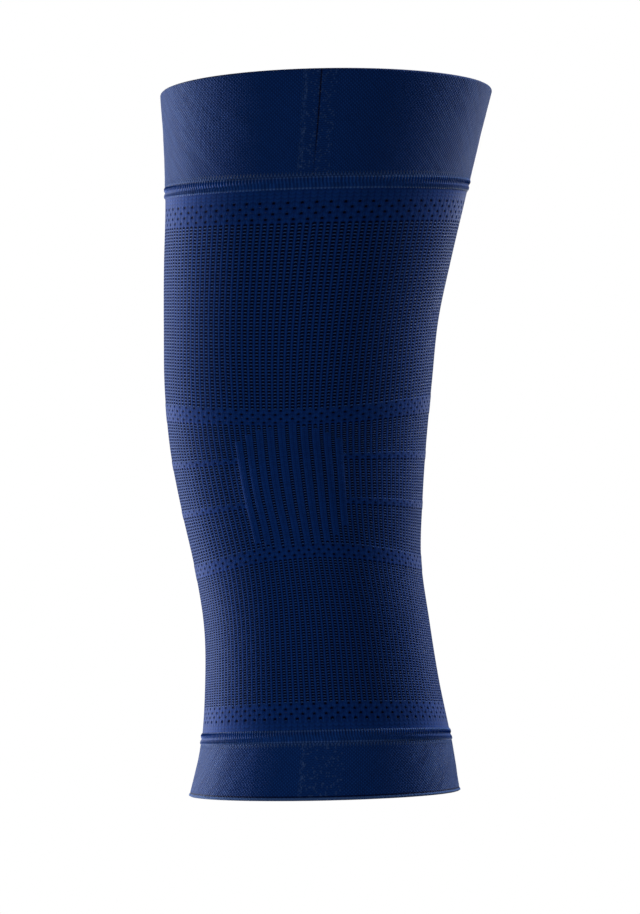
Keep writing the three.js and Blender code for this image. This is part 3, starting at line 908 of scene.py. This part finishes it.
lower_seam_at = BOTTOM_CUFF_HEIGHT + PIECE_GAP
upper_seam_at = SLEEVE_LENGTH - TOP_CUFF_HEIGHT - PIECE_GAP - SEAM_HEIGHT
bottom_rows = (BOTTOM_CUFF_HEIGHT + 2 * EDGE_BEAD) / CUFF_COURSE
join_at = (JOIN_TURN / TURN + 0.5) * DOTS_ROUND["top_cuff_cloth"]
top_patch_at = (TOP_PATCH[0] / 360 + 0.5) * DOTS_ROUND["top_cuff_cloth"]
bottom_patch_at = (BOTTOM_PATCH[0] / 360 + 0.5) * DOTS_ROUND["bottom_cuff_cloth"]

open_knit_cloth = [open_knit("open_knit", SHEEN), open_knit("open_knit_holes", 0)]
top_cuff_knit = cuff_knit("top_cuff_cloth", 0, 1, 1, top_patch_at, join_at=join_at)
bottom_cuff_knit = cuff_knit("bottom_cuff_cloth", bottom_rows, -1, -1, bottom_patch_at, hem=True)
seam_cloth = seam_knit()

knit = knit_face()
knit_piece("shin_knit", knit, open_knit_cloth)
knit_piece("knee_knit", knit, open_knit_cloth)
knit_piece("thigh_knit", knit, open_knit_cloth)
top_cuff_at = SLEEVE_LENGTH - TOP_CUFF_HEIGHT
cuff_piece("top_cuff_cloth", top_cuff_at, SLEEVE_LENGTH, top_cuff_knit, True)
cuff_piece("bottom_cuff_cloth", 0, BOTTOM_CUFF_HEIGHT, bottom_cuff_knit, False)
seam_piece("lower_seam_stitching", lower_seam_at, seam_cloth)
seam_piece("upper_seam_stitching", upper_seam_at, seam_cloth)


# Camera, light and floor, in metres

LENS = 217.9
EYE = (0.009, -2.5, 0.0127)
FLOOR_BASE = 0.08  # what the floor throws back at the sleeve
FLOOR_PALE = 0.8  # what it adds to that for the camera
FLOOR_GLOW = 0.85  # how brightly it glows for the camera
FLOOR_FADE = (0.4, 0.97)  # of its radius


def camera():
    data = bpy.data.cameras.new("camera")
    data.lens = LENS
    data.clip_end = 50
    eye = bpy.data.objects.new("camera", data)
    eye.location = EYE
    eye.rotation_euler = (math.radians(90), 0, 0)
    bpy.context.scene.collection.objects.link(eye)
    bpy.context.scene.camera = eye


def soft_light(name, azimuth, elevation, distance, wide, tall, power):
    """A large lamp that faces the sleeve. Azimuth 0 is in front of it and 90 on its right."""
    data = bpy.data.lights.new(name, "AREA")
    data.shape = "RECTANGLE"
    data.size, data.size_y = wide, tall
    data.energy = power
    lamp = bpy.data.objects.new(name, data)
    a, e = math.radians(azimuth), math.radians(elevation)
    lamp.location = (
        distance * math.sin(a) * math.cos(e),
        -distance * math.cos(a) * math.cos(e),
        distance * math.sin(e),
    )
    lamp.rotation_euler = (-lamp.location.normalized()).to_track_quat("-Z", "Y").to_euler()
    lamp.visible_camera = False
    bpy.context.scene.collection.objects.link(lamp)


def surroundings(ambient):
    """Faint light from all sides, which the camera sees as white."""
    world = bpy.data.worlds.new("surroundings")
    world.use_nodes = True
    tree = world.node_tree
    path = tree.nodes.new("ShaderNodeLightPath")
    light = tree.nodes["Background"]
    light.inputs["Color"].default_value = (1, 1, 1, 1)
    light.inputs["Strength"].default_value = ambient
    seen = tree.nodes.new("ShaderNodeBackground")
    seen.inputs["Strength"].default_value = 1
    seen.inputs["Color"].default_value = (1, 1, 1, 1)
    mix = tree.nodes.new("ShaderNodeMixShader")
    tree.links.new(path.outputs["Is Camera Ray"], mix.inputs[0])
    tree.links.new(light.outputs[0], mix.inputs[1])
    tree.links.new(seen.outputs[0], mix.inputs[2])
    tree.links.new(mix.outputs[0], tree.nodes["World Output"].inputs[0])
    bpy.context.scene.world = world


def floor(height, radius):
    """A pale round floor that fades out to its edge."""
    mesh = bpy.data.meshes.new("floor")
    count = 96
    turns = [k / count * TURN for k in range(count)]
    edge = [(radius * math.cos(t), radius * math.sin(t), height) for t in turns]
    mesh.from_pydata(edge, [], [list(range(count))])
    plate = bpy.data.objects.new("floor", mesh)
    bpy.context.scene.collection.objects.link(plate)
    material = bpy.data.materials.new("pale_floor")
    material.use_nodes = True
    tree = material.node_tree
    shader = tree.nodes["Principled BSDF"]
    shader.inputs["Roughness"].default_value = 0.9
    shader.inputs["Emission Color"].default_value = (1, 1, 1, 1)
    path = tree.nodes.new("ShaderNodeLightPath")
    seen = Sum(tree, path.outputs["Is Camera Ray"])
    tree.links.new((seen * FLOOR_GLOW).socket, shader.inputs["Emission Strength"])
    tree.links.new((seen * FLOOR_PALE + FLOOR_BASE).socket, shader.inputs["Base Color"])
    place = tree.nodes.new("ShaderNodeTexCoord")
    length = tree.nodes.new("ShaderNodeVectorMath")
    length.operation = "LENGTH"
    tree.links.new(place.outputs["Object"], length.inputs[0])
    fade = Sum(tree, length.outputs["Value"]).step(radius * FLOOR_FADE[0], radius * FLOOR_FADE[1])
    tree.links.new((1 - fade).socket, shader.inputs["Alpha"])
    mesh.materials.append(material)


camera()
surroundings(ambient=0.075)
soft_light("left_light", azimuth=-128, elevation=-7, distance=1.5, wide=1.0, tall=0.2, power=31)
soft_light("right_light", azimuth=126, elevation=35, distance=1.4, wide=0.9, tall=0.9, power=19)
soft_light("fill_light", azimuth=-28, elevation=-24, distance=0.62, wide=0.3, tall=0.3, power=0.48)
floor(height=-0.27, radius=0.8)
bpy.context.scene.view_settings.view_transform = "Standard"
